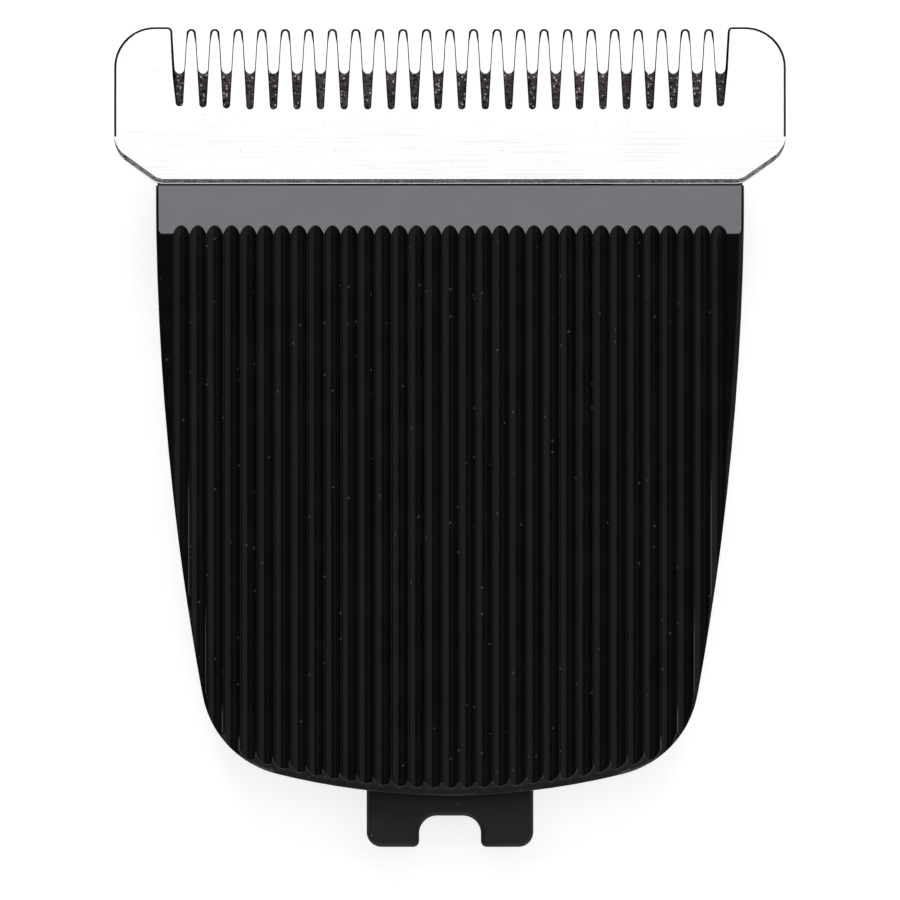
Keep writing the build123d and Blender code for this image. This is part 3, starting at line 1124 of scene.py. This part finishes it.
@dataclass
class Studio:
    """Floor, lamps, sky and camera.

    Attributes:
        frame_width: Width of what the camera sees at the comb's face.
        centre_y: Y of the picture's middle.
        lens: Focal length of the camera in millimetres.
        sensor: Width of its sensor in millimetres.
        clip_reach: How far it sees, for its distance from the head.
        floor_size: Size of the floor in metres.
        floor_drop: Distance of the floor below the head.
        floor_colour: Colour of the floor.
        floor_roughness: Its roughness.
        floor_lift: Light that it gives off to the camera and in reflections.
        sky: Colour of the sky.
        glow: Its colour low down before and behind the head.
        glow_ahead: Parts of a direction along Y where the glow starts and is full.
        glow_rise: Parts of a direction along Z where the glow starts and is full.
        glow_fall: Parts of a direction along Z where the glow falls off and has ended.
        lamps: The lamps.
    """

    frame_width: float = 60.27 * MM
    centre_y: float = -0.83 * MM
    lens: float = 1200.0
    sensor: float = 36.0
    clip_reach: float = 2.0
    floor_size: float = 8.0
    floor_drop: float = 0.02 * MM
    floor_colour: Colour = (0.8, 0.8, 0.8)
    floor_roughness: float = 0.9
    floor_lift: float = 0.7
    sky: Colour = (0.03, 0.03, 0.03)
    glow: Colour = (0.75, 0.75, 0.76)
    glow_ahead: Span = (0.5, 0.8)
    glow_rise: Span = (0.15, 0.25)
    glow_fall: Span = (0.4, 0.55)
    lamps: tuple[Softbox, ...] = (
        Softbox("overhead_softbox", lean=9.0, distance=0.8, width=0.9, depth=0.38, radiance=1.2),
        Softbox(
            "back_softbox", lean=42.0, distance=0.8, width=0.45, depth=0.36, radiance=4.6,
            tint=(1.01, 1.0, 1.08),
        ),
        Softbox(
            "right_softbox", lean=-14.0, distance=1.0, width=1.1, depth=1.35, radiance=0.24, aside=54.0,
        ),
        Softbox(
            "left_strip", lean=-14.0, distance=1.0, width=0.9, depth=0.3, radiance=0.07, aside=-30.0,
        ),
        Softbox("front_softbox", lean=-52.0, distance=0.9, width=0.9, depth=0.45, radiance=1.2),
        Softbox("low_strip", lean=-82.0, distance=0.9, width=0.9, depth=0.22, radiance=0.18),
    )

    def floor(self) -> None:
        """Lays the pale floor, which looks white to the camera and keeps the head's shadow."""
        bpy.ops.mesh.primitive_plane_add(size=self.floor_size, location=(0.0, 0.0, -self.floor_drop))
        floor = bpy.context.object
        floor.name = "floor"
        made, wiring, shader = new_material("pale_floor")
        wiring.feed(shader["Base Color"], (*self.floor_colour, 1.0))
        wiring.feed(shader["Roughness"], self.floor_roughness)
        wiring.feed(shader["Specular IOR Level"], 0.0)
        wiring.feed(shader["Emission Color"], (*WHITE, 1.0))
        ray = wiring.node("ShaderNodeLightPath")
        seen = wiring.math("MAXIMUM", ray.outputs["Is Camera Ray"], ray.outputs["Is Glossy Ray"])
        seen = wiring.math("MAXIMUM", seen, ray.outputs["Is Transmission Ray"])
        wiring.feed(shader["Emission Strength"], wiring.math("MULTIPLY", seen, self.floor_lift))
        floor.data.materials.append(made)

    def light(self) -> None:
        """Hangs the lamps and sets the dim sky, which glows low down before and behind the head."""
        target = Vector((0.0, 0.0, CAD_BOX[1].z))
        for lamp in self.lamps:
            lamp.build(target)
        world = bpy.data.worlds.new("sky")
        world.use_nodes = True
        wiring = Wiring(world.node_tree)
        towards = wiring.node("ShaderNodeTexCoord").outputs["Generated"]
        ahead = wiring.ramp(wiring.math("ABSOLUTE", wiring.part(towards, "Y")), *self.glow_ahead)
        height = wiring.part(towards, "Z")
        fall = wiring.ramp(height, *self.glow_fall, 1.0, 0.0)
        low = wiring.math("MULTIPLY", wiring.ramp(height, *self.glow_rise), fall)
        share = wiring.math("MULTIPLY", ahead, low)
        background = world.node_tree.nodes["Background"]
        wiring.feed(background.inputs["Color"], wiring.blend(share, self.sky, self.glow))
        bpy.context.scene.world = world
        bpy.context.scene.view_settings.view_transform = "Standard"

    def camera(self) -> None:
        """Sets the camera straight above the head, far away with a long lens."""
        distance = self.frame_width * self.lens / self.sensor
        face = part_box("fixed_blade")[1].z
        bpy.ops.object.camera_add(location=(0.0, self.centre_y, face + distance), rotation=(0.0, 0.0, 0.0))
        camera = bpy.context.object
        camera.data.lens = self.lens
        camera.data.sensor_width = self.sensor
        camera.data.clip_end = self.clip_reach * distance
        bpy.context.scene.camera = camera

    def build(self) -> None:
        """Builds the whole studio."""
        self.floor()
        self.light()
        self.camera()


def main() -> None:
    """Builds the head and its studio in order."""
    logging.basicConfig(level=logging.INFO)
    EffectShelf().build()
    BladePair().build()
    CoverShell().build()
    Carrier().build()
    ScrewPair("blade_screws", "blade_screw_pair").build()
    ScrewPair("cover_screws", "cover_screw_pair").build()
    Studio().build()


if __name__ == "__main__":
    main()
